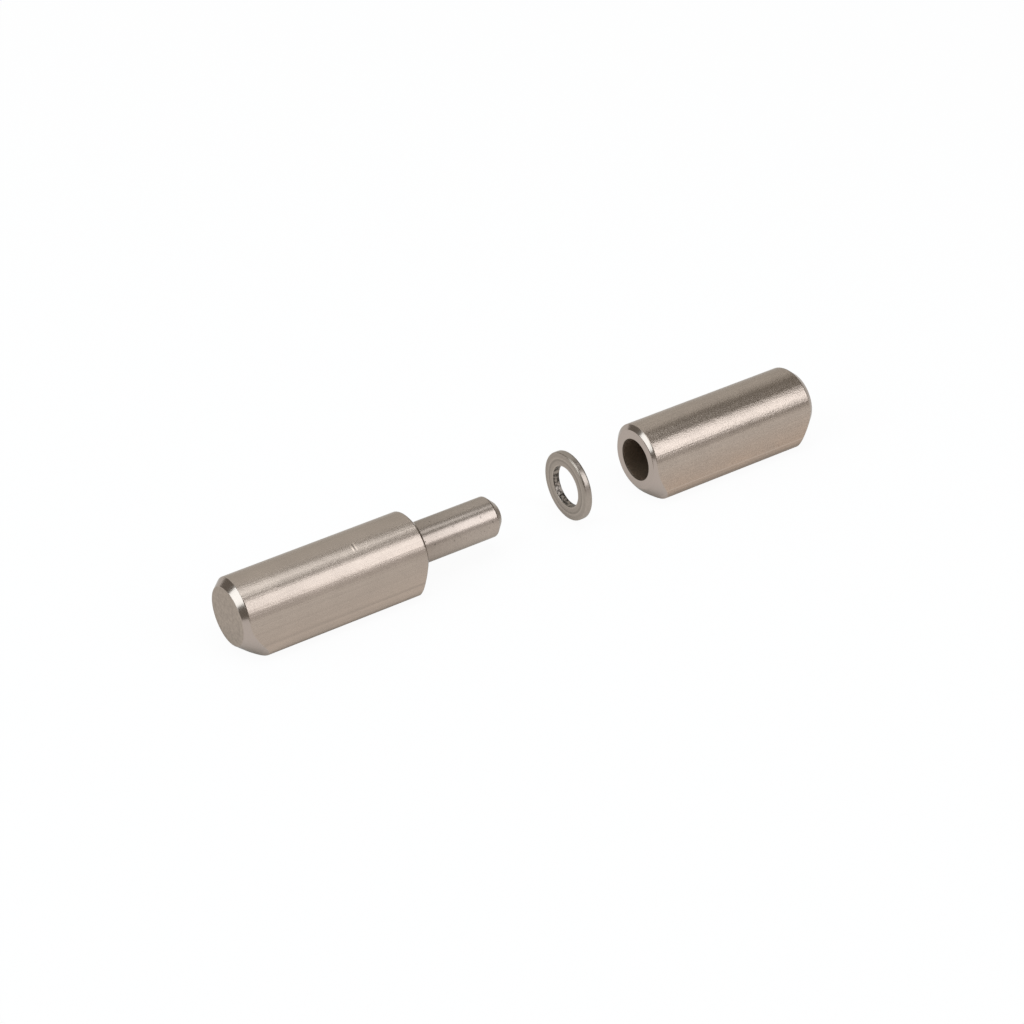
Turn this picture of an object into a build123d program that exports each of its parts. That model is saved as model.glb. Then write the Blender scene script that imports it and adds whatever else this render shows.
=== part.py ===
"""Weld-on hinge of drop-shaped bar: two barrels, the loose pin they turn on and the ring between them.

The pieces lie on one axis along X, drawn apart, with the nose of each drop on the ground towards -Y.
"""
import os
from math import atan, cos, degrees, radians, sin, tan

from build123d import *

# Driving dimensions, in millimetres and degrees
barrel_diameter = 13.7
flat_width = 5.05
nose_rounding = 2.8
axis_offset = 0.26
lower_length = 38.6
upper_length = 38.8
pin_diameter = 8.0
pin_exposed = 18.6
pin_seated = 18.6
pin_end_chamfer = 1.8
ring_thickness = 1.5
ring_edge_rounding = 0.4

# Turned ends of the barrels: the rim of each flat face, and the angle of its cone from the axis
far_rim_diameter = 11.3
far_cone_angle = 40.0
meeting_rim_diameter = 11.84
meeting_cone_angle = 52.5

# Bores for the pin, and how far apart the pieces lie
bore_clearance = 0.05
ring_clearance = 0.1
bore_edge = 0.2
upper_bore_depth = 19.0
drill_point_angle = 118.0
shoulder_to_ring = 34.5
shoulder_to_mouth = 50.9

# Sizes that follow from these
barrel_radius = barrel_diameter / 2
pin_radius = pin_diameter / 2
bore_radius = pin_radius + bore_clearance
flat_angle = 2 * atan((barrel_radius - nose_rounding) / flat_width)
corner_radius = barrel_radius / sin(flat_angle / 2)
round_centre = (flat_width + nose_rounding - barrel_radius) / 2
axis_place = round_centre - axis_offset
half_span = (lower_length + shoulder_to_mouth + upper_length) / 2
shoulder = lower_length - half_span
mouth = shoulder + shoulder_to_mouth
ring_near_face = shoulder + shoulder_to_ring
drill_slope = 1 / tan(radians(drill_point_angle / 2))

pin_axis = Axis((0, axis_place, barrel_radius), (1, 0, 0))
turning_plane = Plane(origin=(0, axis_place, barrel_radius), x_dir=(1, 0, 0), z_dir=(0, -1, 0))


def on_circle(centre, radius, turn):
    """A point of the bar's section, that many degrees from the top of a circle towards the nose."""
    return centre[0] - radius * sin(radians(turn)), centre[1] + radius * cos(radians(turn))


def drop_bar(start, length):
    """A length of the drawn bar: a round with two flats that meet at the nose, the lower one level."""
    middle = (round_centre, barrel_radius)
    nose_centre = (round_centre - flat_width, nose_rounding)
    flat_turn = degrees(flat_angle)
    nose_turn = (180 + flat_turn) / 2
    with BuildPart() as bar:
        with BuildSketch(Plane.YZ.offset(start)):
            with BuildLine():
                bottom = Line((round_centre, 0), (round_centre - flat_width, 0))
                nose_tip = on_circle(nose_centre, nose_rounding, nose_turn)
                nose_end = on_circle(nose_centre, nose_rounding, flat_turn)
                nose = ThreePointArc(bottom @ 1, nose_tip, nose_end)
                front = Line(nose @ 1, on_circle(middle, barrel_radius, flat_turn))
                far_point = on_circle(middle, barrel_radius, nose_turn - 180)
                ThreePointArc(front @ 1, far_point, bottom @ 0)
            make_face()
        extrude(amount=length)
    return bar.part


def turned(profile):
    """A solid of revolution about the pin's axis from a closed outline of (along the axis, radius) points."""
    with BuildPart() as solid:
        with BuildSketch(turning_plane):
            with BuildLine():
                Polyline(*profile, close=True)
            make_face()
        revolve(axis=pin_axis)
    return solid.part


def end_cone(face, direction, rim_diameter, cone_angle):
    """Two outline points of a turned end: the rim of its face, and where the cone has passed the nose."""
    cone_length = (corner_radius - rim_diameter / 2) / tan(radians(cone_angle))
    return (face, rim_diameter / 2), (face + direction * cone_length, corner_radius)


def blind_bore(face, direction, depth):
    """The drilled hole from a flat face inwards, with a broken edge and the cone of the drill's point."""
    return turned(
        [
            (face, 0),
            (face, bore_radius + bore_edge),
            (face + direction * bore_edge, bore_radius),
            (face + direction * depth, bore_radius),
            (face + direction * (depth + bore_radius * drill_slope), 0),
        ]
    )


def make_lower_barrel():
    """The half that holds the pin: a cone on its far end and a shallower one at the pin's shoulder."""
    far_end = shoulder - lower_length
    rim, past_nose = end_cone(far_end, 1, far_rim_diameter, far_cone_angle)
    shoulder_rim, shoulder_past_nose = end_cone(shoulder, -1, meeting_rim_diameter, meeting_cone_angle)
    blank = turned([(far_end, 0), rim, past_nose, shoulder_past_nose, shoulder_rim, (shoulder, 0)])
    # The pin's end stands on the cone of the hole, so the straight wall stops short of it
    pin_end_radius = pin_radius - pin_end_chamfer
    straight_depth = pin_seated - (bore_radius - pin_end_radius) * drill_slope
    return drop_bar(far_end, lower_length) & blank - blind_bore(shoulder, -1, straight_depth)


def make_upper_barrel():
    """The half that lifts off: a blind bore, a small cone round its mouth and a larger one on its far end."""
    far_end = mouth + upper_length
    mouth_rim, mouth_past_nose = end_cone(mouth, 1, meeting_rim_diameter, meeting_cone_angle)
    rim, past_nose = end_cone(far_end, -1, far_rim_diameter, far_cone_angle)
    blank = turned([(mouth, 0), mouth_rim, mouth_past_nose, past_nose, rim, (far_end, 0)])
    return drop_bar(mouth, upper_length) & blank - blind_bore(mouth, 1, upper_bore_depth)


def make_hinge_pin():
    """The plain round pin, chamfered alike at both ends, with one half of it in the lower barrel."""
    inner_end = shoulder - pin_seated
    tip = shoulder + pin_exposed
    end_radius = pin_radius - pin_end_chamfer
    return turned(
        [
            (inner_end, 0),
            (inner_end, end_radius),
            (inner_end + pin_end_chamfer, pin_radius),
            (tip - pin_end_chamfer, pin_radius),
            (tip, end_radius),
            (tip, 0),
        ]
    )


def make_spacer_ring():
    """The flat ring that keeps the barrels apart, as wide as they are, with both outer edges rounded."""
    bore = pin_radius + ring_clearance
    with BuildPart() as ring:
        with BuildSketch(turning_plane):
            with Locations((ring_near_face, bore)):
                Rectangle(ring_thickness, barrel_radius - bore, align=(Align.MIN, Align.MIN))
        revolve(axis=pin_axis)
        outer_edges = ring.edges().filter_by(GeomType.CIRCLE).sort_by(SortBy.RADIUS)[-2:]
        fillet(outer_edges, ring_edge_rounding)
    return ring.part


os.makedirs("parts", exist_ok=True)
export_step(make_lower_barrel(), "parts/lower_barrel.step")
export_step(make_hinge_pin(), "parts/hinge_pin.step")
export_step(make_spacer_ring(), "parts/spacer_ring.step")
export_step(make_upper_barrel(), "parts/upper_barrel.step")
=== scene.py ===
"""Looks of a weld-on hinge of drop-shaped bar, drawn apart along its pin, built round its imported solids."""

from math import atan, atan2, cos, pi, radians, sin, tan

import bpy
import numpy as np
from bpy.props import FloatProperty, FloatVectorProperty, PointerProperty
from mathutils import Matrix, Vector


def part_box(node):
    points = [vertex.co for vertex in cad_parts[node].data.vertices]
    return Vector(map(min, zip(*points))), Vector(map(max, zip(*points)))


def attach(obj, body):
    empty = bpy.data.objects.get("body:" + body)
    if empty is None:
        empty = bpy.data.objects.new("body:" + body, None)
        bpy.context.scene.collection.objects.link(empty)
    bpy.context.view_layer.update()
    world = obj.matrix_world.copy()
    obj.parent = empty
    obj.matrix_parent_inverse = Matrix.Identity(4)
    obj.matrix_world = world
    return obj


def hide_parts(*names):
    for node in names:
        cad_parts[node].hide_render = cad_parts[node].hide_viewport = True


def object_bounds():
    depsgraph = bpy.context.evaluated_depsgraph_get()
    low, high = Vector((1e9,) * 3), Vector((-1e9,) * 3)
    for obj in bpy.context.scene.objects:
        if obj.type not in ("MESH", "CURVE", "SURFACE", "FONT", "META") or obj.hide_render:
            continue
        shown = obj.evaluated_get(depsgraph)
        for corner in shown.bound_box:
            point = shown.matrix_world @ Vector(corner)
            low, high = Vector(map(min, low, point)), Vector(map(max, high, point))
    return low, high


bl_info = {
    "name": "Weld-on hinge",
    "version": (1, 0, 0),
    "blender": (4, 5, 0),
    "location": "3D View > Sidebar > Hinge",
    "description": "Stainless weld-on hinge: two drop-shaped barrels, their pin and the ring between them",
    "category": "Add Mesh",
}

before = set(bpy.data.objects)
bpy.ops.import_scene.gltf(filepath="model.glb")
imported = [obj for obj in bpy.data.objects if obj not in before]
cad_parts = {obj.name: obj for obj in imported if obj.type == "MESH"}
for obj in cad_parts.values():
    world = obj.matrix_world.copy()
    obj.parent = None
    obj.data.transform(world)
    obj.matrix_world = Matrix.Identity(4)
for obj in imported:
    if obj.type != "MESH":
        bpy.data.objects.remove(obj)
cad_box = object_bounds()

MM = 0.001

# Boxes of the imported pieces, and the pin's axis in them
LOWER_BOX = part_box("lower_barrel")
UPPER_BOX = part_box("upper_barrel")
PIN_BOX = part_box("hinge_pin")
RING_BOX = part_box("spacer_ring")
AXIS_PLACE = (PIN_BOX[0].y + PIN_BOX[1].y) / 2
AXIS_HEIGHT = (cad_box[0].z + cad_box[1].z) / 2

# Fineness of the meshes, and the longest part of a side that a rounded corner takes
SECTION_POINTS = 384
ROUND_POINTS = 256
OUTLINE_STEPS = 16
CORNER_ROWS = 7
ROW_SPACING = 2 * MM
LONGEST_ROUNDING = 0.45

# Kinds of surface, as levels of the meshes' finish attribute; the last is painted shade on the upper barrel's broken
# bore edge
DRAWN, TURNED, DULL, BORED, LIP_SHADE = 0, 1, 2, 3, 4

# Tints of the steel: towards its edges, in brown stains on the bar, and for the painted shade at the root of the pin
EDGE_TINT = (0.72, 0.71, 0.685, 1.0)
STAIN_TINT = (0.98, 0.9, 0.84)
ROOT_SHADE_TINT = (0.82, 0.81, 0.8)

# Where the bar's stains end above the ground, where its nose begins, and how soon each fades
STAIN_TOP, STAIN_FADE = 8 * MM, 5 * MM
NOSE_START, NOSE_FADE = 5 * MM, 1 * MM

# Way over which the look of the upper barrel takes over from that of the lower one, in the gap between them
BARREL_FADE = 5 * MM

# Share of the painted shade at the pin's root that is lost in a metre
ROOT_SHADE_SLOPE = 90

# A nick on the lower barrel, in millimetres: painted shade in its groove and painted highlights on the raised edges
# beside it
NICK_SHADE, NICK_SHADE_SIZE = (-39.05, -1.95, 13.25), (0.2, 1.0, 1.4)
NICK_HIGHLIGHTS, NICK_HIGHLIGHT_SIZE = ((-38.7, -1.85, 13.28), (-39.4, -2.1, 13.18)), (0.22, 1.0, 1.4)

# Reach of the dark gap that gloss sees on the floor close to the barrels
FLOOR_GAP = 6 * MM
SENSOR_WIDTH = 36.0

# Lamps, with their place and the angles that they fill in degrees, and their distance in metres
LAMPS = {
    "key_box": {
        "azimuth": 35.2, "elevation": 37.0, "width": 29.4, "height": 36.2,
        "radiance": 2.705, "tint": (0.873, 0.922, 1.0), "distance": 1.1,
    },
    "left_box": {
        "azimuth": -99.5, "elevation": 35.3, "width": 42.7, "height": 43.9,
        "radiance": 2.674, "tint": (0.826, 0.937, 1.0), "distance": 1.1,
    },
    "back_box": {
        "azimuth": 167.3, "elevation": 33.2, "width": 60.3, "height": 63.4,
        "radiance": 0.632, "tint": (0.934, 0.974, 1.0), "distance": 1.1,
    },
    "top_box": {
        "azimuth": 40.0, "elevation": 86.8, "width": 40.6, "height": 37.2,
        "radiance": 2.243, "tint": (0.865, 0.93, 1.0), "distance": 0.6,
    },
    "front_box": {
        "azimuth": 11.3, "elevation": 15.4, "width": 41.9, "height": 27.8,
        "radiance": 0.604, "tint": (0.943, 0.946, 1.0), "distance": 1.1,
    },
}


def size(name, description, default):
    """A length that a user may change, in metres."""
    return FloatProperty(name=name, description=description, default=default, unit="LENGTH", precision=5)


def turn(name, description, default):
    """An angle that a user may change, given in degrees."""
    return FloatProperty(name=name, description=description, default=radians(default), subtype="ANGLE")


def share(name, description, default):
    """A plain number from nought to one."""
    return FloatProperty(name=name, description=description, default=default, min=0, max=1, subtype="FACTOR")


def colour(name, description, default):
    """A colour of three linear numbers."""
    return FloatVectorProperty(name=name, description=description, default=default, size=3, subtype="COLOR")


class HingeSizes(bpy.types.PropertyGroup):
    """Sizes of the hinge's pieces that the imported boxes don't give."""

    barrel_radius: size("Barrel radius", "Round of the drop-shaped bar", AXIS_HEIGHT)
    flat_width: size("Flat width", "Width of each of the two flats", 5.05 * MM)
    nose_rounding: size("Nose rounding", "Rounding where the two flats meet", 2.8 * MM)
    axis_offset: size("Axis offset", "How far the pin's axis lies from the middle of the round", 0.26 * MM)
    far_rim: size("Far rim", "Radius of the flat face on a far end", 5.65 * MM)
    far_cone: turn("Far cone", "Angle of the turned cone on a far end, from the axis", 40)
    meeting_rim: size("Meeting rim", "Radius of the flat face where the barrels meet", 5.92 * MM)
    meeting_cone: turn("Meeting cone", "Angle of the turned cone where the barrels meet, from the axis", 52.5)
    bore_radius: size("Bore radius", "Radius of the drilled hole for the pin", 4.05 * MM)
    bore_edge: size("Bore edge", "Broken edge at the bore's mouth", 0.2 * MM)
    lower_bore_depth: size("Lower bore depth", "Straight wall of the hole in the lower barrel", 17.49 * MM)
    upper_bore_depth: size("Upper bore depth", "Straight wall of the hole in the upper barrel", 19 * MM)
    drill_angle: turn("Drill angle", "Angle of the cone that the drill's point leaves", 118)
    pin_radius: size("Pin radius", "Radius of the pin", 4 * MM)
    pin_chamfer: size("Pin chamfer", "Chamfer on both ends of the pin", 1.8 * MM)
    pin_end_softness: size("Pin end rounding", "Rounding between the chamfer and the pin's end", 0.5 * MM)
    pin_side_softness: size("Pin side rounding", "Rounding between the chamfer and the pin's side", 0.2 * MM)
    ring_radius: size("Ring radius", "Radius of the ring", 6.85 * MM)
    ring_bore: size("Ring bore", "Radius of the ring's hole", 4.1 * MM)
    ring_rounding: size("Ring rounding", "Rounding of the ring's outer edges", 0.4 * MM)
    bore_softness: size("Bore softness", "Rounding of the edges of a bore", 0.042 * MM)
    edge_softness: size("Edge softness", "Rounding of the other edges", 0.14 * MM)


class HingeFinishes(bpy.types.PropertyGroup):
    """Colours and gloss of the kinds of steel surface."""

    drawn_colour: colour("Drawn bar", "Colour of the drawn bar", (0.41, 0.342, 0.288))
    turned_colour: colour("Turned steel", "Colour of faces that were turned", (0.408, 0.347, 0.307))
    dull_colour: colour("Dull ends", "Colour of the far end faces", (0.345, 0.287, 0.24))
    bore_colour: colour("Bore wall", "Colour of the oily wall of a bore", (0.26, 0.19, 0.135))
    ring_colour: colour("Turned ring", "Colour of the ring", (0.31, 0.268, 0.23))
    pin_colour: colour("Ground pin", "Colour of the ground pin", (0.386, 0.326, 0.279))
    drawn_roughness: share("Drawn roughness", "Gloss of the drawn bar", 0.28)
    turned_roughness: share("Turned roughness", "Gloss of the turned faces", 0.187)
    pin_roughness: share("Pin roughness", "Gloss of the ground pin", 0.27)
    ring_roughness: share("Ring roughness", "Gloss of the turned ring", 0.3)


class HingeStage(bpy.types.PropertyGroup):
    """Floor, room and camera."""

    floor_colour: colour("Floor", "Colour of the floor", (0.96, 0.96, 0.96))
    floor_white: share("Floor white", "Share of plain white that the eye and the steel see in the floor", 0.94)
    room_colour: colour("Room", "Colour of the room round the lamps", (0.239, 0.224, 0.199))
    azimuth: turn("Azimuth", "Camera's turn from the front", -34.2)
    elevation: turn("Elevation", "Camera's height angle", 34.57)
    distance: size("Distance", "From the camera to the point that it looks at", 552.9 * MM)
    target: FloatVectorProperty(
        name="Target",
        description="Point that the camera looks at",
        default=(1.637 * MM, 7.372 * MM, -0.18 * MM),
        size=3,
        subtype="TRANSLATION",
    )
    lens: FloatProperty(name="Lens", description="Focal length on a 36 mm sensor", default=101.95, unit="CAMERA")


def circle_reach(angle, across, up, radius):
    """Far hit of a ray from the axis with a circle.

    It is the way along the ray to its nearest point to the centre, plus the root of the radius squared less the
    square of the centre's distance from the ray.
    """
    along = across * np.cos(angle) + up * np.sin(angle)
    aside = across * np.sin(angle) - up * np.cos(angle)
    return along + np.sqrt(np.maximum(radius**2 - aside**2, 0))


def flat_reach(angle, normal, distance):
    """Hit of a ray from the axis with a flat: the flat's distance over the cosine of the angle from its normal."""
    return distance / np.cos(angle - normal)


def drop_radius(angle, sizes):
    """Distance from the pin's axis to the drop's skin at each angle, from nought to a full turn.

    The skin is the round, the front flat, the nose's rounding, the bottom flat and the round again. The angles at
    which these four join, seen from the axis, say which of them a ray meets.
    """
    radius, rounding, offset = sizes.barrel_radius, sizes.nose_rounding, sizes.axis_offset
    front = 2 * atan((radius - rounding) / sizes.flat_width) + pi / 2
    bottom = 1.5 * pi
    nose_across, nose_up = offset - sizes.flat_width, rounding - radius
    joins = [
        atan2(radius * sin(front), offset + radius * cos(front)),
        atan2(nose_up + rounding * sin(front), nose_across + rounding * cos(front)) + 2 * pi,
        atan2(-radius, nose_across) + 2 * pi,
        atan2(-radius, offset) + 2 * pi,
    ]
    skins = [
        circle_reach(angle, offset, 0, radius),
        flat_reach(angle, front, radius + offset * cos(front)),
        circle_reach(angle, nose_across, nose_up, rounding),
        flat_reach(angle, bottom, radius),
    ]
    return np.select([angle < join for join in joins], skins, skins[0])


def section_angles(sizes, count):
    """Angles that divide the drop's outline into equal lengths, read off the running length of a finer outline."""
    fine = np.linspace(0, 2 * pi, count * OUTLINE_STEPS + 1)
    reach = drop_radius(fine, sizes)
    steps = np.hypot(np.diff(reach * np.cos(fine)), np.diff(reach * np.sin(fine)))
    run = np.concatenate([[0], np.cumsum(steps)])
    return np.interp(np.arange(count) / count * run[-1], run, fine)


def carry_outline(corners, roundings, finishes, angle_count, closed=False):
    """Rows of an outline that is carried round the axis, with corners that may stand elsewhere at each angle.

    corners are (along the axis, radius) pairs of numbers or arrays. Each corner gives way to a quadratic curve that
    leaves one side and meets the next at the rounding's distance, or at the longest part of the shorter side that a
    rounding takes. The rows on a side divide it evenly. Returned are the rows, their directions along the outline, and
    the finish of each row.
    """
    points = np.array([[np.broadcast_to(value, angle_count) for value in corner] for corner in corners])
    before = np.roll(points, 1, axis=0)
    after = np.roll(points, -1, axis=0)
    back_side = np.linalg.norm(before - points, axis=1)
    next_side = np.linalg.norm(after - points, axis=1)
    reach = np.array([np.broadcast_to(value, angle_count) for value in roundings])
    reach = np.minimum(reach, LONGEST_ROUNDING * np.minimum(back_side, next_side))
    start = points + (before - points) * (reach / back_side)[:, None]
    end = points + (after - points) * (reach / next_side)[:, None]
    step = np.linspace(0, 1, CORNER_ROWS)[:, None, None]
    rows, directions, row_finishes = [], [], []
    last = len(points) - 1
    for number in range(len(points)):
        follows = (number + 1) % len(points)
        if closed or 0 < number < last:
            curve = (1 - step) ** 2 * start[number] + 2 * step * (1 - step) * points[number] + step**2 * end[number]
            slope = (1 - step) * (points[number] - start[number]) + step * (end[number] - points[number])
            rows.append(curve)
            directions.append(slope)
            row_finishes.append(np.linspace(finishes[number - 1], finishes[number], CORNER_ROWS))
        else:
            pole_side = after[number] - points[number] if number == 0 else points[number] - before[number]
            rows.append(points[number][None])
            directions.append(pole_side[None])
            row_finishes.append([finishes[min(number, last - 1)]])
        if closed or number < last:
            leave = end[number] if closed or number > 0 else points[number]
            meet = start[follows] if closed or follows < last else points[follows]
            longest = np.linalg.norm(meet - leave, axis=0).max()
            part = np.linspace(0, 1, int(longest / ROW_SPACING) + 2)[1:-1, None, None]
            rows.append(leave + (meet - leave) * part)
            directions.append(np.broadcast_to(meet - leave, (len(part), *leave.shape)))
            row_finishes.append(np.full(len(part), finishes[number]))
    return np.concatenate(rows), np.concatenate(directions), np.concatenate(row_finishes)


def carried_mesh(name, outline, angles, closed=False):
    """The mesh of a carried outline: along, radius * cosine and radius * sine of the angle about the pin's axis.

    The normals are the cross product of the steps round the axis and along the outline. An open outline starts and
    ends on the axis, and each end is one point with a fan of triangles.
    """
    rows, directions, finishes = outline
    along, radius = rows[:, 0], rows[:, 1]
    spokes = np.stack([np.zeros_like(angles), np.cos(angles), np.sin(angles)], axis=-1)
    centre = np.array([0, AXIS_PLACE, AXIS_HEIGHT])
    axis = np.array([1.0, 0, 0])
    points = along[..., None] * axis + radius[..., None] * spokes + centre
    forward = directions[:, 0, :, None] * axis + directions[:, 1, :, None] * spokes
    around = np.roll(points, -1, axis=1) - np.roll(points, 1, axis=1)
    normals = np.cross(around, forward)
    row_count, angle_count = radius.shape
    index = np.arange(row_count * angle_count).reshape(row_count, angle_count)
    keep = np.ones(row_count * angle_count, bool)
    if not closed:
        for end, inward in ((0, 1), (-1, -2)):
            normals[end] = np.sign(normals[inward].mean(axis=0)[0]) * axis
            keep[index[end, 1:]] = False
            index[end] = index[end, 0]
    renumber = np.cumsum(keep) - 1
    index = renumber[index]
    upper = np.roll(index, -1, axis=0) if closed else index[1:]
    lower = index if closed else index[:-1]
    quads = np.stack([lower, np.roll(lower, -1, axis=1), np.roll(upper, -1, axis=1), upper], axis=-1)
    if closed:
        faces = quads.reshape(-1, 4).tolist()
    else:
        first = quads[0][:, [0, 2, 3]].tolist()
        final = quads[-1][:, [0, 1, 2]].tolist()
        faces = first + quads[1:-1].reshape(-1, 4).tolist() + final
    normals = normals.reshape(-1, 3)[keep]
    normals /= np.linalg.norm(normals, axis=1, keepdims=True)
    mesh = bpy.data.meshes.new(name)
    mesh.from_pydata(points.reshape(-1, 3)[keep].tolist(), [], faces)
    mesh.polygons.foreach_set("use_smooth", np.ones(len(faces), bool))
    mesh.normals_split_custom_set_from_vertices(normals.tolist())
    levels = np.repeat(finishes, angle_count)[keep]
    mesh.attributes.new("finish", "FLOAT", "POINT").data.foreach_set("value", levels.astype(np.float32))
    return mesh


class Wire:
    """A socket of a node tree. Sums, differences and products with it add Math nodes."""

    def __init__(self, tree, socket=None):
        self.tree = tree
        self.socket = socket

    def node(self, kind, settings, sockets, output=0):
        """Adds a node of that type, sets its settings, then its sockets by name or number, and gives one output."""
        made = self.tree.nodes.new(kind)
        for name, value in settings.items():
            setattr(made, name, value)
        for name, value in sockets.items():
            if isinstance(value, Wire):
                self.tree.links.new(value.socket, made.inputs[name])
            else:
                made.inputs[name].default_value = value
        return Wire(self.tree, made.outputs[output] if made.outputs else None)

    def math(self, operation, first, second):
        """A Math node on two values."""
        return self.node("ShaderNodeMath", {"operation": operation}, {0: first, 1: second})

    def __add__(self, other):
        return self.math("ADD", self, other)

    def __radd__(self, other):
        return self.math("ADD", other, self)

    def __sub__(self, other):
        return self.math("SUBTRACT", self, other)

    def __rsub__(self, other):
        return self.math("SUBTRACT", other, self)

    def __mul__(self, other):
        return self.math("MULTIPLY", self, other)

    def __rmul__(self, other):
        return self.math("MULTIPLY", other, self)

    def held(self):
        """The same value, kept from nought to one."""
        return self.node("ShaderNodeClamp", {}, {"Value": self})

    def above(self, level, slope):
        """How far the value lies above a level, times a slope, kept from nought to one."""
        return ((self - level) * slope).held()

    def noise(self, vector, per_metre, detail=2.0, roughness=0.5):
        """Smooth noise from nought to one on a vector, with so many of its swells to the metre."""
        sockets = {"Vector": vector, "Scale": per_metre, "Detail": detail, "Roughness": roughness}
        return self.node("ShaderNodeTexNoise", {"noise_dimensions": "3D"}, sockets, "Fac")

    def stretched(self, vector, factors):
        """The vector with each part multiplied, so that a pattern on it runs long where the factor is small."""
        return self.node("ShaderNodeVectorMath", {"operation": "MULTIPLY"}, {0: vector, 1: factors})

    def tinted(self, colour, tint):
        """A colour with each part multiplied."""
        settings = {"data_type": "RGBA", "blend_type": "MULTIPLY"}
        return self.node("ShaderNodeMix", settings, {0: 1.0, 6: colour, 7: (*tint, 1.0)}, 2)

    def mix(self, factor, first, second):
        """A colour between two colours."""
        settings = {"data_type": "RGBA", "clamp_factor": True}
        return self.node("ShaderNodeMix", settings, {0: factor, 6: first, 7: second}, 2)

    def varied(self, tone, rgb, spread):
        """A colour that runs from darker to lighter by a spread as the tone goes from nought to one."""
        return self.mix(tone, shade(rgb, 1 - spread), shade(rgb, 1 + spread))


def new_material(name):
    """An empty node material and the wire that its nodes start from."""
    material = bpy.data.materials.new(name)
    material.use_nodes = True
    material.node_tree.nodes.clear()
    return material, Wire(material.node_tree)


def shade(rgb, factor):
    """A colour made lighter or darker, with full alpha."""
    return tuple(part * factor for part in rgb) + (1.0,)


def about(middle, spread, tone):
    """A value from a spread below its middle to a spread above it, as the tone goes from nought to one."""
    return middle - spread + 2 * spread * tone


def axis_distance(wire, place):
    """Distance of each point from the pin's axis, the length of its place with the part along the axis left out."""
    sockets = {0: place, 1: (0, 1, 1), 2: (0, -AXIS_PLACE, -AXIS_HEIGHT)}
    across = wire.node("ShaderNodeVectorMath", {"operation": "MULTIPLY_ADD"}, sockets)
    return wire.node("ShaderNodeVectorMath", {"operation": "LENGTH"}, {0: across}, "Value")


def turning_lines(wire, place, spacing):
    """Fine rings left by the lathe: noise on the distance from the axis alone."""
    ring = wire.node("ShaderNodeCombineXYZ", {}, {"X": axis_distance(wire, place)})
    return wire.noise(ring, per_metre=1 / spacing, detail=1.0)


def finish_level(wire, level):
    """Share of the finishes above a level, from the mesh's own finish attribute: nought up to it, one from the next."""
    finish = wire.node("ShaderNodeAttribute", {"attribute_name": "finish"}, {}, "Fac")
    return wire.node("ShaderNodeMath", {"operation": "SUBTRACT", "use_clamp": True}, {0: finish, 1: float(level)})


def finish_steel(wire, base, roughness, height, metal=1.0):
    """The steel shader, with a bump whose height is in micrometres."""
    normal = wire.node("ShaderNodeBump", {}, {"Strength": 1.0, "Distance": 1e-6, "Height": height})
    sockets = {
        "Base Color": base,
        "Metallic": metal,
        "Roughness": roughness,
        "Specular Tint": EDGE_TINT,
        "Normal": normal,
    }
    steel = wire.node("ShaderNodeBsdfPrincipled", {}, sockets)
    wire.node("ShaderNodeOutputMaterial", {}, {"Surface": steel})


def stripe(wire, height, middle, half_width):
    """A soft line at one height above the ground: one less the distance from its middle over its half width."""
    away = wire.node("ShaderNodeMath", {"operation": "ABSOLUTE"}, {0: height - middle})
    return (1 - away * (1 / half_width)).held()


def short_mark(wire, place, middle, half_sizes):
    """A short mark in millimetres: twice one less the distance from its middle, counted in its half sizes."""
    scales = tuple(1 / (half * MM) for half in half_sizes)
    sockets = {0: place, 1: scales, 2: tuple(-part / half for part, half in zip(middle, half_sizes))}
    away = wire.node("ShaderNodeVectorMath", {"operation": "MULTIPLY_ADD"}, sockets)
    length = wire.node("ShaderNodeVectorMath", {"operation": "LENGTH"}, {0: away}, "Value")
    return (2 - 2 * length).held()


def stained_bar_with_painted_light(wire, bar, rgb, place, upper, blotches):
    """The bar's colour with brown stains low down, a painted highlight and painted shade along the upper barrel's nose,
    a darker line on the lower barrel's front flat, and one nick with painted highlights and shade.
    """
    across, height = (wire.node("ShaderNodeSeparateXYZ", {}, {0: place}, part) for part in "YZ")
    front = (across * (-1 / NOSE_FADE) - NOSE_START / NOSE_FADE).held()
    low = (STAIN_TOP / STAIN_FADE - height * (1 / STAIN_FADE)).held()
    stain = low * (0.3 + 0.7 * upper) * (0.4 + 1.2 * blotches)
    bar = wire.mix(stain, bar, wire.tinted(bar, STAIN_TINT))
    # painted highlight: a lighter line where the upper barrel's front flat meets its nose
    nose_edge_highlight = front * upper * stripe(wire, height, middle=3.0 * MM, half_width=0.2 * MM)
    bar = wire.mix(0.5 * nose_edge_highlight, bar, shade(rgb, 1.3))
    # painted shade: a dark band low on the upper barrel's nose, where the gap under it is dark
    nose_shade = front * upper * stripe(wire, height, middle=1.9 * MM, half_width=0.8 * MM)
    bar = wire.mix(0.4 * nose_shade, bar, shade(rgb, 0.6))
    # a darker line along the lower barrel's front flat, above its nose
    flat_dark_line = front * (1 - upper) * stripe(wire, height, middle=3.65 * MM, half_width=0.35 * MM)
    bar = wire.mix(0.35 * flat_dark_line, bar, shade(rgb, 0.6))
    # the nick: painted shade in its groove, painted highlights on its raised edges
    groove_shade = short_mark(wire, place, NICK_SHADE, NICK_SHADE_SIZE)
    first_highlight, second_highlight = (short_mark(wire, place, middle, NICK_HIGHLIGHT_SIZE) for middle in NICK_HIGHLIGHTS)
    bar = wire.mix(first_highlight + second_highlight, bar, shade(rgb, 1.6))
    return wire.mix(0.7 * groove_shade, bar, shade(rgb, 0.4))


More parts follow.
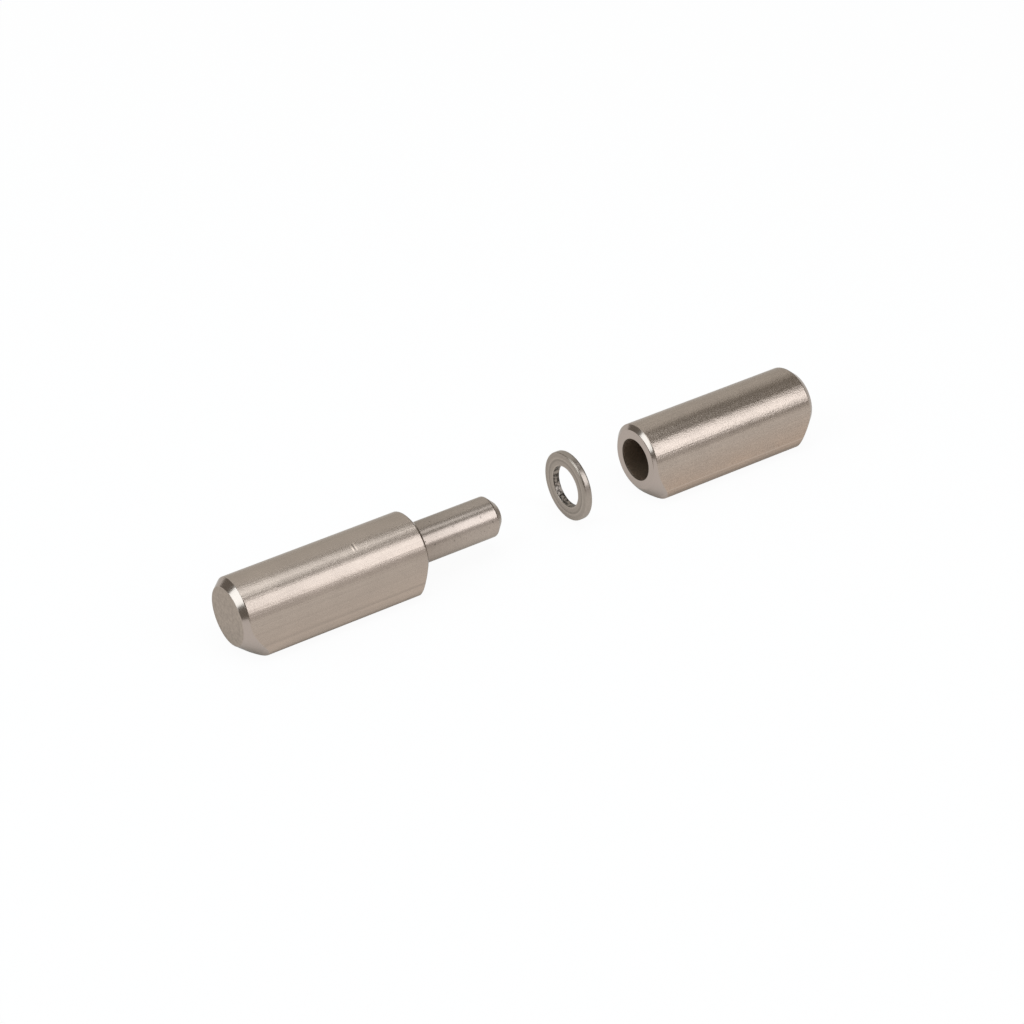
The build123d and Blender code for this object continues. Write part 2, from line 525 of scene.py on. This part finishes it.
def drawn_steel(finishes):
    """Satin drawn bar: die lines, grain, swells and stains, painted highlight and shade along the nose, with turned
    cones, dull end faces, oily bores and painted shade on the upper barrel's bore edge.

    The upper barrel's grain is coarser than the lower one's. The relief is in micrometres.
    """
    material, wire = new_material("drawn_bar")
    place = wire.node("ShaderNodeTexCoord", {}, {}, "Object")
    along = wire.node("ShaderNodeSeparateXYZ", {}, {0: place}, "X")
    upper = (along * (1 / BARREL_FADE)).held()
    turned, dull, bored, lip_shade = (finish_level(wire, level) for level in (DRAWN, TURNED, DULL, BORED))
    drawn = 1 - turned
    lines = wire.noise(wire.stretched(place, (0.008, 1, 1)), per_metre=3500)
    grain = wire.noise(place, per_metre=3600, detail=1.0)
    swell = wire.noise(wire.stretched(place, (0.12, 1, 1)), per_metre=420, detail=1.0)
    dents = wire.noise(wire.stretched(place, (0.6, 1, 1)), per_metre=800)
    speckle = wire.noise(place, per_metre=4200, detail=1.0)
    blotches = wire.noise(place, per_metre=150)
    mottle = wire.noise(place, per_metre=1400, detail=3.0, roughness=0.6)
    rings = turning_lines(wire, place, spacing=0.16 * MM)
    flecks = (0.2 + 0.32 * upper) * (speckle - 0.5)
    tone = 0.48 + 0.02 * upper + 0.2 * (lines - 0.5) + flecks + 0.2 * (blotches - 0.5)
    bar = wire.varied(tone, finishes.drawn_colour, spread=0.5)
    bar = stained_bar_with_painted_light(wire, bar, finishes.drawn_colour, place, upper, blotches)
    face = wire.varied(rings, finishes.turned_colour, spread=0.06)
    end = wire.varied(mottle, finishes.dull_colour, spread=0.4)
    wall = wire.varied(grain, finishes.bore_colour, spread=0.4)
    # painted shade: the upper barrel's broken bore edge made dark
    wall = wire.mix(lip_shade, wall, shade(finishes.bore_colour, 0.2))
    base = wire.mix(bored, wire.mix(dull, wire.mix(turned, bar, face), end), wall)
    satin = about(finishes.drawn_roughness, 0.04, grain)
    cut = about(finishes.turned_roughness, 0.03, rings)
    roughness = drawn * satin + turned * cut + 0.06 * dull + 0.2 * bored
    bar_relief = 14 * lines + (8 + 14 * upper) * grain + 24 * swell + 20 * dents
    relief = drawn * bar_relief + turned * (3 * rings) + dull * (20 * mottle)
    finish_steel(wire, base, roughness, relief, metal=1 - 0.35 * bored)
    return material


def ground_steel(finishes):
    """Smooth ground pin: faint rings round it, a little grain, a few dark pits, and painted shade at its root by the
    lower barrel.
    """
    material, wire = new_material("ground_pin")
    place = wire.node("ShaderNodeTexCoord", {}, {}, "Object")
    along = wire.node("ShaderNodeSeparateXYZ", {}, {0: place}, "X")
    rings = wire.noise(wire.stretched(place, (1, 0.02, 0.02)), per_metre=5200, detail=1.0)
    grain = wire.noise(place, per_metre=3600, detail=1.0)
    speckle = wire.noise(place, per_metre=4200, detail=1.0)
    pits = wire.noise(place, per_metre=1500, detail=1.0).above(0.7, slope=12)
    base = wire.varied(0.3 * rings + 0.7 * speckle, finishes.pin_colour, spread=0.26)
    # painted shade: the pin grows darker towards the lower barrel's shoulder
    root = (1 - (along - LOWER_BOX[1].x) * ROOT_SHADE_SLOPE).held()
    base = wire.mix(root, base, wire.tinted(base, ROOT_SHADE_TINT))
    base = wire.mix(pits, base, shade(finishes.pin_colour, 0.35))
    roughness = about(finishes.pin_roughness, 0.03, grain)
    finish_steel(wire, base, roughness, rings + 7 * grain - 20 * pits)
    return material


def turned_steel(finishes):
    """Turned ring: rings round the axis on its faces, a matt grain, and dark specks on the wall of its hole."""
    material, wire = new_material("turned_ring")
    place = wire.node("ShaderNodeTexCoord", {}, {}, "Object")
    bored = finish_level(wire, DULL)
    rings = turning_lines(wire, place, spacing=0.5 * MM).above(0.25, slope=2)
    grain = wire.noise(place, per_metre=2800)
    specks = wire.noise(place, per_metre=1500).above(0.42, slope=6)
    face = wire.varied(0.65 * rings + 0.35 * grain, finishes.ring_colour, spread=0.5)
    wall = wire.mix(specks, shade(finishes.ring_colour, 0.2), shade(finishes.ring_colour, 0.9))
    roughness = about(finishes.ring_roughness, 0.06, grain)
    relief = (1 - bored) * (16 * rings) + 14 * grain + bored * (30 * specks)
    finish_steel(wire, wire.mix(bored, face, wall), roughness, relief)
    return material


def kept_material(name, make, finishes):
    """The material of that name, made the first time that it is asked for."""
    return bpy.data.materials.get(name) or make(finishes)


def place_piece(context, mesh, material, body, node):
    """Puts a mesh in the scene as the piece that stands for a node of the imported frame."""
    piece = bpy.data.objects.new(mesh.name, mesh)
    mesh.materials.append(material)
    context.scene.collection.objects.link(piece)
    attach(piece, body)
    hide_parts(node)


def barrel_outline(sizes, angles, far_end, meeting, bore_depth, bore_edge_level):
    """Outline of a barrel between its far end and the face that meets the ring, with the bore in that face.

    It runs from the middle of the far face over a cone, the bar and a second cone to the meeting face, and down the
    bore to the drill's point. A cone leaves its face at the rim and goes back by the rise to the drop's skin over the
    tangent of its angle. Where the far end lies on the right, the outline runs the other way, so that its faces point
    outwards.
    """
    inward = 1 if meeting > far_end else -1
    reach = drop_radius(angles, sizes)
    bore = sizes.bore_radius
    far_edge = far_end + inward * (reach - sizes.far_rim) / tan(sizes.far_cone)
    meeting_edge = meeting - inward * (reach - sizes.meeting_rim) / tan(sizes.meeting_cone)
    wall_end = meeting - inward * bore_depth
    corners = [
        (far_end, 0),
        (far_end, sizes.far_rim),
        (far_edge, reach),
        (meeting_edge, reach),
        (meeting, sizes.meeting_rim),
        (meeting, bore + sizes.bore_edge),
        (meeting - inward * sizes.bore_edge, bore),
        (wall_end, bore),
        (wall_end - inward * bore / tan(sizes.drill_angle / 2), 0),
    ]
    roundings = [0, *[sizes.edge_softness] * 4, *[sizes.bore_softness] * 3, 0]
    finishes = [DULL, TURNED, DRAWN, TURNED, TURNED, bore_edge_level, BORED, BORED]
    order = slice(None, None, inward)
    return carry_outline(corners[order], roundings[order], finishes[order], len(angles))


class HINGE_OT_lower_barrel(bpy.types.Operator):
    """Make the barrel that holds the pin"""

    bl_idname = "hinge.lower_barrel"
    bl_label = "Lower barrel"

    def execute(self, context):
        sizes = context.scene.hinge_sizes
        angles = section_angles(sizes, SECTION_POINTS)
        far_end, shoulder = LOWER_BOX[0].x, LOWER_BOX[1].x
        outline = barrel_outline(sizes, angles, far_end, shoulder, sizes.lower_bore_depth, TURNED)
        mesh = carried_mesh("lower_barrel_skin", outline, angles)
        material = kept_material("drawn_bar", drawn_steel, context.scene.hinge_finishes)
        place_piece(context, mesh, material, "lower_half", "lower_barrel")
        return {"FINISHED"}


class HINGE_OT_upper_barrel(bpy.types.Operator):
    """Make the barrel that lifts off the pin"""

    bl_idname = "hinge.upper_barrel"
    bl_label = "Upper barrel"

    def execute(self, context):
        sizes = context.scene.hinge_sizes
        angles = section_angles(sizes, SECTION_POINTS)
        mouth, far_end = UPPER_BOX[0].x, UPPER_BOX[1].x
        outline = barrel_outline(sizes, angles, far_end, mouth, sizes.upper_bore_depth, LIP_SHADE)
        mesh = carried_mesh("upper_barrel_skin", outline, angles)
        material = kept_material("drawn_bar", drawn_steel, context.scene.hinge_finishes)
        place_piece(context, mesh, material, "upper_half", "upper_barrel")
        return {"FINISHED"}


class HINGE_OT_hinge_pin(bpy.types.Operator):
    """Make the round pin that the barrels turn on"""

    bl_idname = "hinge.hinge_pin"
    bl_label = "Hinge pin"

    def execute(self, context):
        sizes = context.scene.hinge_sizes
        angles = np.arange(ROUND_POINTS) / ROUND_POINTS * 2 * pi
        radius = sizes.pin_radius
        inner, tip = PIN_BOX[0].x, PIN_BOX[1].x
        flat = radius - sizes.pin_chamfer
        corners = [
            (inner, 0),
            (inner, flat),
            (inner + sizes.pin_chamfer, radius),
            (tip - sizes.pin_chamfer, radius),
            (tip, flat),
            (tip, 0),
        ]
        end, side = sizes.pin_end_softness, sizes.pin_side_softness
        finishes = [TURNED, TURNED, DRAWN, TURNED, TURNED]
        outline = carry_outline(corners, [0, end, side, side, end, 0], finishes, len(angles))
        mesh = carried_mesh("hinge_pin_skin", outline, angles)
        material = kept_material("ground_pin", ground_steel, context.scene.hinge_finishes)
        place_piece(context, mesh, material, "pin", "hinge_pin")
        return {"FINISHED"}


class HINGE_OT_spacer_ring(bpy.types.Operator):
    """Make the ring that goes on the pin between the barrels"""

    bl_idname = "hinge.spacer_ring"
    bl_label = "Spacer ring"

    def execute(self, context):
        sizes = context.scene.hinge_sizes
        angles = np.arange(ROUND_POINTS) / ROUND_POINTS * 2 * pi
        outer = sizes.ring_radius
        near, far = RING_BOX[0].x, RING_BOX[1].x
        corners = [(near, sizes.ring_bore), (near, outer), (far, outer), (far, sizes.ring_bore)]
        soft = sizes.edge_softness
        roundings = [soft, sizes.ring_rounding, sizes.ring_rounding, soft]
        finishes = [TURNED, TURNED, TURNED, BORED]
        outline = carry_outline(corners, roundings, finishes, len(angles), closed=True)
        mesh = carried_mesh("spacer_ring_skin", outline, angles, closed=True)
        material = kept_material("turned_ring", turned_steel, context.scene.hinge_finishes)
        place_piece(context, mesh, material, "ring", "spacer_ring")
        return {"FINISHED"}


def toward(azimuth, elevation):
    """Unit vector from the hinge at an azimuth from the front, positive to the right, and an elevation."""
    level = cos(elevation)
    return Vector((sin(azimuth) * level, -cos(azimuth) * level, sin(elevation)))


def soft_box(context, name, azimuth, elevation, width, height, radiance, tint, distance):
    """A rectangular lamp that faces the hinge, as wide and high as the angles in degrees that it fills there.

    Its power is the radiance times pi times its area.
    """
    lamp = bpy.data.lights.new(name, "AREA")
    lamp.shape = "RECTANGLE"
    lamp.size = 2 * distance * tan(radians(width) / 2)
    lamp.size_y = 2 * distance * tan(radians(height) / 2)
    lamp.energy = radiance * pi * lamp.size * lamp.size_y
    lamp.color = tint
    box = bpy.data.objects.new(name, lamp)
    out = toward(radians(azimuth), radians(elevation))
    box.location = out * distance
    box.rotation_euler = out.to_track_quat("Z", "Y").to_euler()
    box.visible_camera = False
    context.scene.collection.objects.link(box)


def floor_material(stage):
    """Pale floor: a matt surface that keeps the shadow, with a share of plain white for the eye and for gloss."""
    material, wire = new_material("pale_floor")
    rays = ("Is Camera Ray", "Is Glossy Ray", "Is Transmission Ray")
    camera, gloss, through = (wire.node("ShaderNodeLightPath", {}, {}, ray) for ray in rays)
    open_sky = wire.node("ShaderNodeAmbientOcclusion", {"samples": 6}, {"Distance": FLOOR_GAP}, "AO")
    seen = camera + through + gloss * open_sky
    place = wire.node("ShaderNodeTexCoord", {}, {}, "Object")
    cloud = wire.noise(place, per_metre=3.0, detail=1.0)
    tone = wire.varied(cloud, stage.floor_colour, spread=0.01)
    sockets = {"Base Color": tone, "Roughness": 0.9, "Specular IOR Level": 0.0}
    matt = wire.node("ShaderNodeBsdfPrincipled", {}, sockets)
    white = wire.node("ShaderNodeEmission", {}, {"Color": (1, 1, 1, 1), "Strength": 1.0})
    floor = wire.node("ShaderNodeMixShader", {}, {0: seen * stage.floor_white, 1: matt, 2: white})
    wire.node("ShaderNodeOutputMaterial", {}, {"Surface": floor})
    return material


def disc_mesh(name, radius, rings, spokes):
    """A flat disc round the origin: radius times the square of an even step, at even angles, with one middle point."""
    out = (np.arange(1, rings + 1) / rings) ** 2 * radius
    angle = np.arange(spokes) / spokes * 2 * pi
    grid = np.stack([np.outer(out, np.cos(angle)), np.outer(out, np.sin(angle)), np.zeros((rings, spokes))], axis=-1)
    points = np.concatenate([[[0, 0, 0]], grid.reshape(-1, 3)])
    index = np.arange(rings * spokes).reshape(rings, spokes) + 1
    beside = np.roll(index, -1, axis=1)
    middle = np.stack([np.zeros_like(index[0]), index[0], beside[0]], axis=-1)
    quads = np.stack([index[:-1], index[1:], beside[1:], beside[:-1]], axis=-1).reshape(-1, 4)
    mesh = bpy.data.meshes.new(name)
    mesh.from_pydata(points.tolist(), [], middle.tolist() + quads.tolist())
    return mesh


class HINGE_OT_stage(bpy.types.Operator):
    """Make the floor, the lamps and the camera"""

    bl_idname = "hinge.stage"
    bl_label = "Stage"

    def execute(self, context):
        scene = context.scene
        stage = scene.hinge_stage
        scene.view_settings.view_transform = "Standard"
        floor_mesh = disc_mesh("floor", radius=6.0, rings=12, spokes=96)
        floor_mesh.materials.append(floor_material(stage))
        floor = bpy.data.objects.new("floor", floor_mesh)
        scene.collection.objects.link(floor)
        world = bpy.data.worlds.new("room")
        world.use_nodes = True
        world.node_tree.nodes["Background"].inputs["Color"].default_value = (*stage.room_colour, 1)
        scene.world = world
        for name, lamp in LAMPS.items():
            soft_box(context, name, **lamp)
        camera = bpy.data.objects.new("camera", bpy.data.cameras.new("camera"))
        camera.data.lens = stage.lens
        camera.data.sensor_width = SENSOR_WIDTH
        camera.data.clip_start = 0.01
        out = toward(stage.azimuth, stage.elevation)
        camera.location = Vector(stage.target) + out * stage.distance
        camera.rotation_euler = out.to_track_quat("Z", "Y").to_euler()
        scene.collection.objects.link(camera)
        scene.camera = camera
        return {"FINISHED"}


class HINGE_PT_pieces(bpy.types.Panel):
    """The hinge's pieces, sizes and finishes in the sidebar"""

    bl_idname = "HINGE_PT_pieces"
    bl_label = "Weld-on hinge"
    bl_space_type = "VIEW_3D"
    bl_region_type = "UI"
    bl_category = "Hinge"

    def draw(self, context):
        for operator in OPERATORS:
            self.layout.operator(operator.bl_idname)
        for group in (context.scene.hinge_sizes, context.scene.hinge_finishes, context.scene.hinge_stage):
            box = self.layout.box()
            for name in group.__annotations__:
                box.prop(group, name)


OPERATORS = (
    HINGE_OT_lower_barrel,
    HINGE_OT_hinge_pin,
    HINGE_OT_spacer_ring,
    HINGE_OT_upper_barrel,
    HINGE_OT_stage,
)
CLASSES = (HingeSizes, HingeFinishes, HingeStage, *OPERATORS, HINGE_PT_pieces)


def register():
    """Makes the classes and the scene's three groups of settings known."""
    for cls in CLASSES:
        bpy.utils.register_class(cls)
    bpy.types.Scene.hinge_sizes = PointerProperty(type=HingeSizes)
    bpy.types.Scene.hinge_finishes = PointerProperty(type=HingeFinishes)
    bpy.types.Scene.hinge_stage = PointerProperty(type=HingeStage)


def unregister():
    """Takes the groups and the classes away again."""
    del bpy.types.Scene.hinge_stage
    del bpy.types.Scene.hinge_finishes
    del bpy.types.Scene.hinge_sizes
    for cls in reversed(CLASSES):
        bpy.utils.unregister_class(cls)


def main():
    """Makes every piece and the stage."""
    register()
    bpy.ops.hinge.lower_barrel()
    bpy.ops.hinge.hinge_pin()
    bpy.ops.hinge.spacer_ring()
    bpy.ops.hinge.upper_barrel()
    bpy.ops.hinge.stage()


if __name__ == "__main__":
    main()
